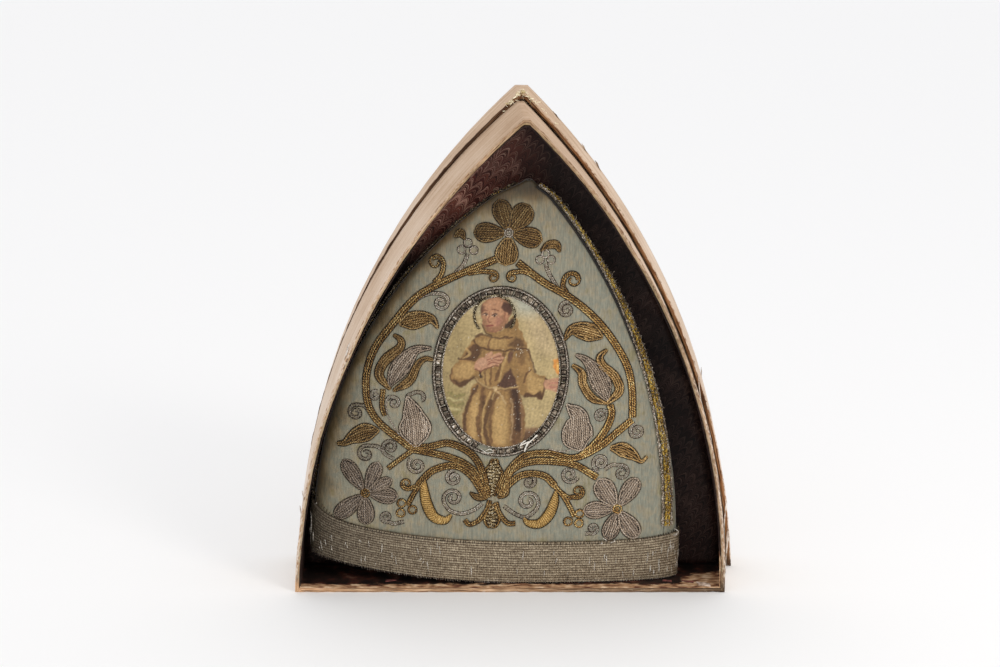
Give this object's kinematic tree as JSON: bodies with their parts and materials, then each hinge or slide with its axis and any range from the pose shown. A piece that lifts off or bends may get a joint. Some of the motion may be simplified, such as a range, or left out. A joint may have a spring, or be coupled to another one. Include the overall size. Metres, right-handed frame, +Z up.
{
  "type": "biretta in a pointed pasteboard box",
  "caption": "Mitre-shaped silk cap with metal-thread embroidery, a galloon band and an oval painted miniature, standing in an open pointed pasteboard box whose slip-on lid stands behind it.",
  "frame": {"origin": "middle of the bounding box, on the plane that the box stands on", "axes": "+Z up towards the points of the cap and the box, -Y out of the tray's open front, +X to the right seen from the front"},
  "size_m": [0.2228, 0.0578, 0.2465],
  "materials": {
    "cover_paper": "cream rag paper over pasteboard, matt, rubbed brown along the edges",
    "marbled_paper": "combed marbled paper in maroon, brown and blue-black, lightly burnished",
    "silk": "pale grey-green silk taffeta with upright slubs, soft sheen",
    "galloon": "ribbed metal-thread galloon, tarnished silver-brown",
    "braid": "braid of gilt and silver frise cords",
    "gold_thread": "silver-gilt passing thread, couched, dulled with age",
    "silver_thread": "silver passing thread, couched, slightly tarnished",
    "painting": "water-based paint on fine silk, matt",
    "purl": "square cells of tarnished silver wire purl"
  },
  "bodies": {
    "root": {"tray_back": "cover_paper", "tray_left_wall": "cover_paper", "tray_right_wall": "cover_paper", "tray_floor": "cover_paper", "lining_back": "marbled_paper", "lining_left": "marbled_paper", "lining_right": "marbled_paper", "lining_floor": "marbled_paper", "lid_back": "cover_paper", "lid_left_wall": "cover_paper", "lid_right_wall": "cover_paper", "lid_floor": "cover_paper", "cap_front_panel": "silk", "cap_back_panel": "silk", "seam_braid_right": "braid", "seam_braid_left": "braid", "galloon": "galloon", "miniature": "painting", "purl_ring": "purl"}
  },
  "joints": []
}
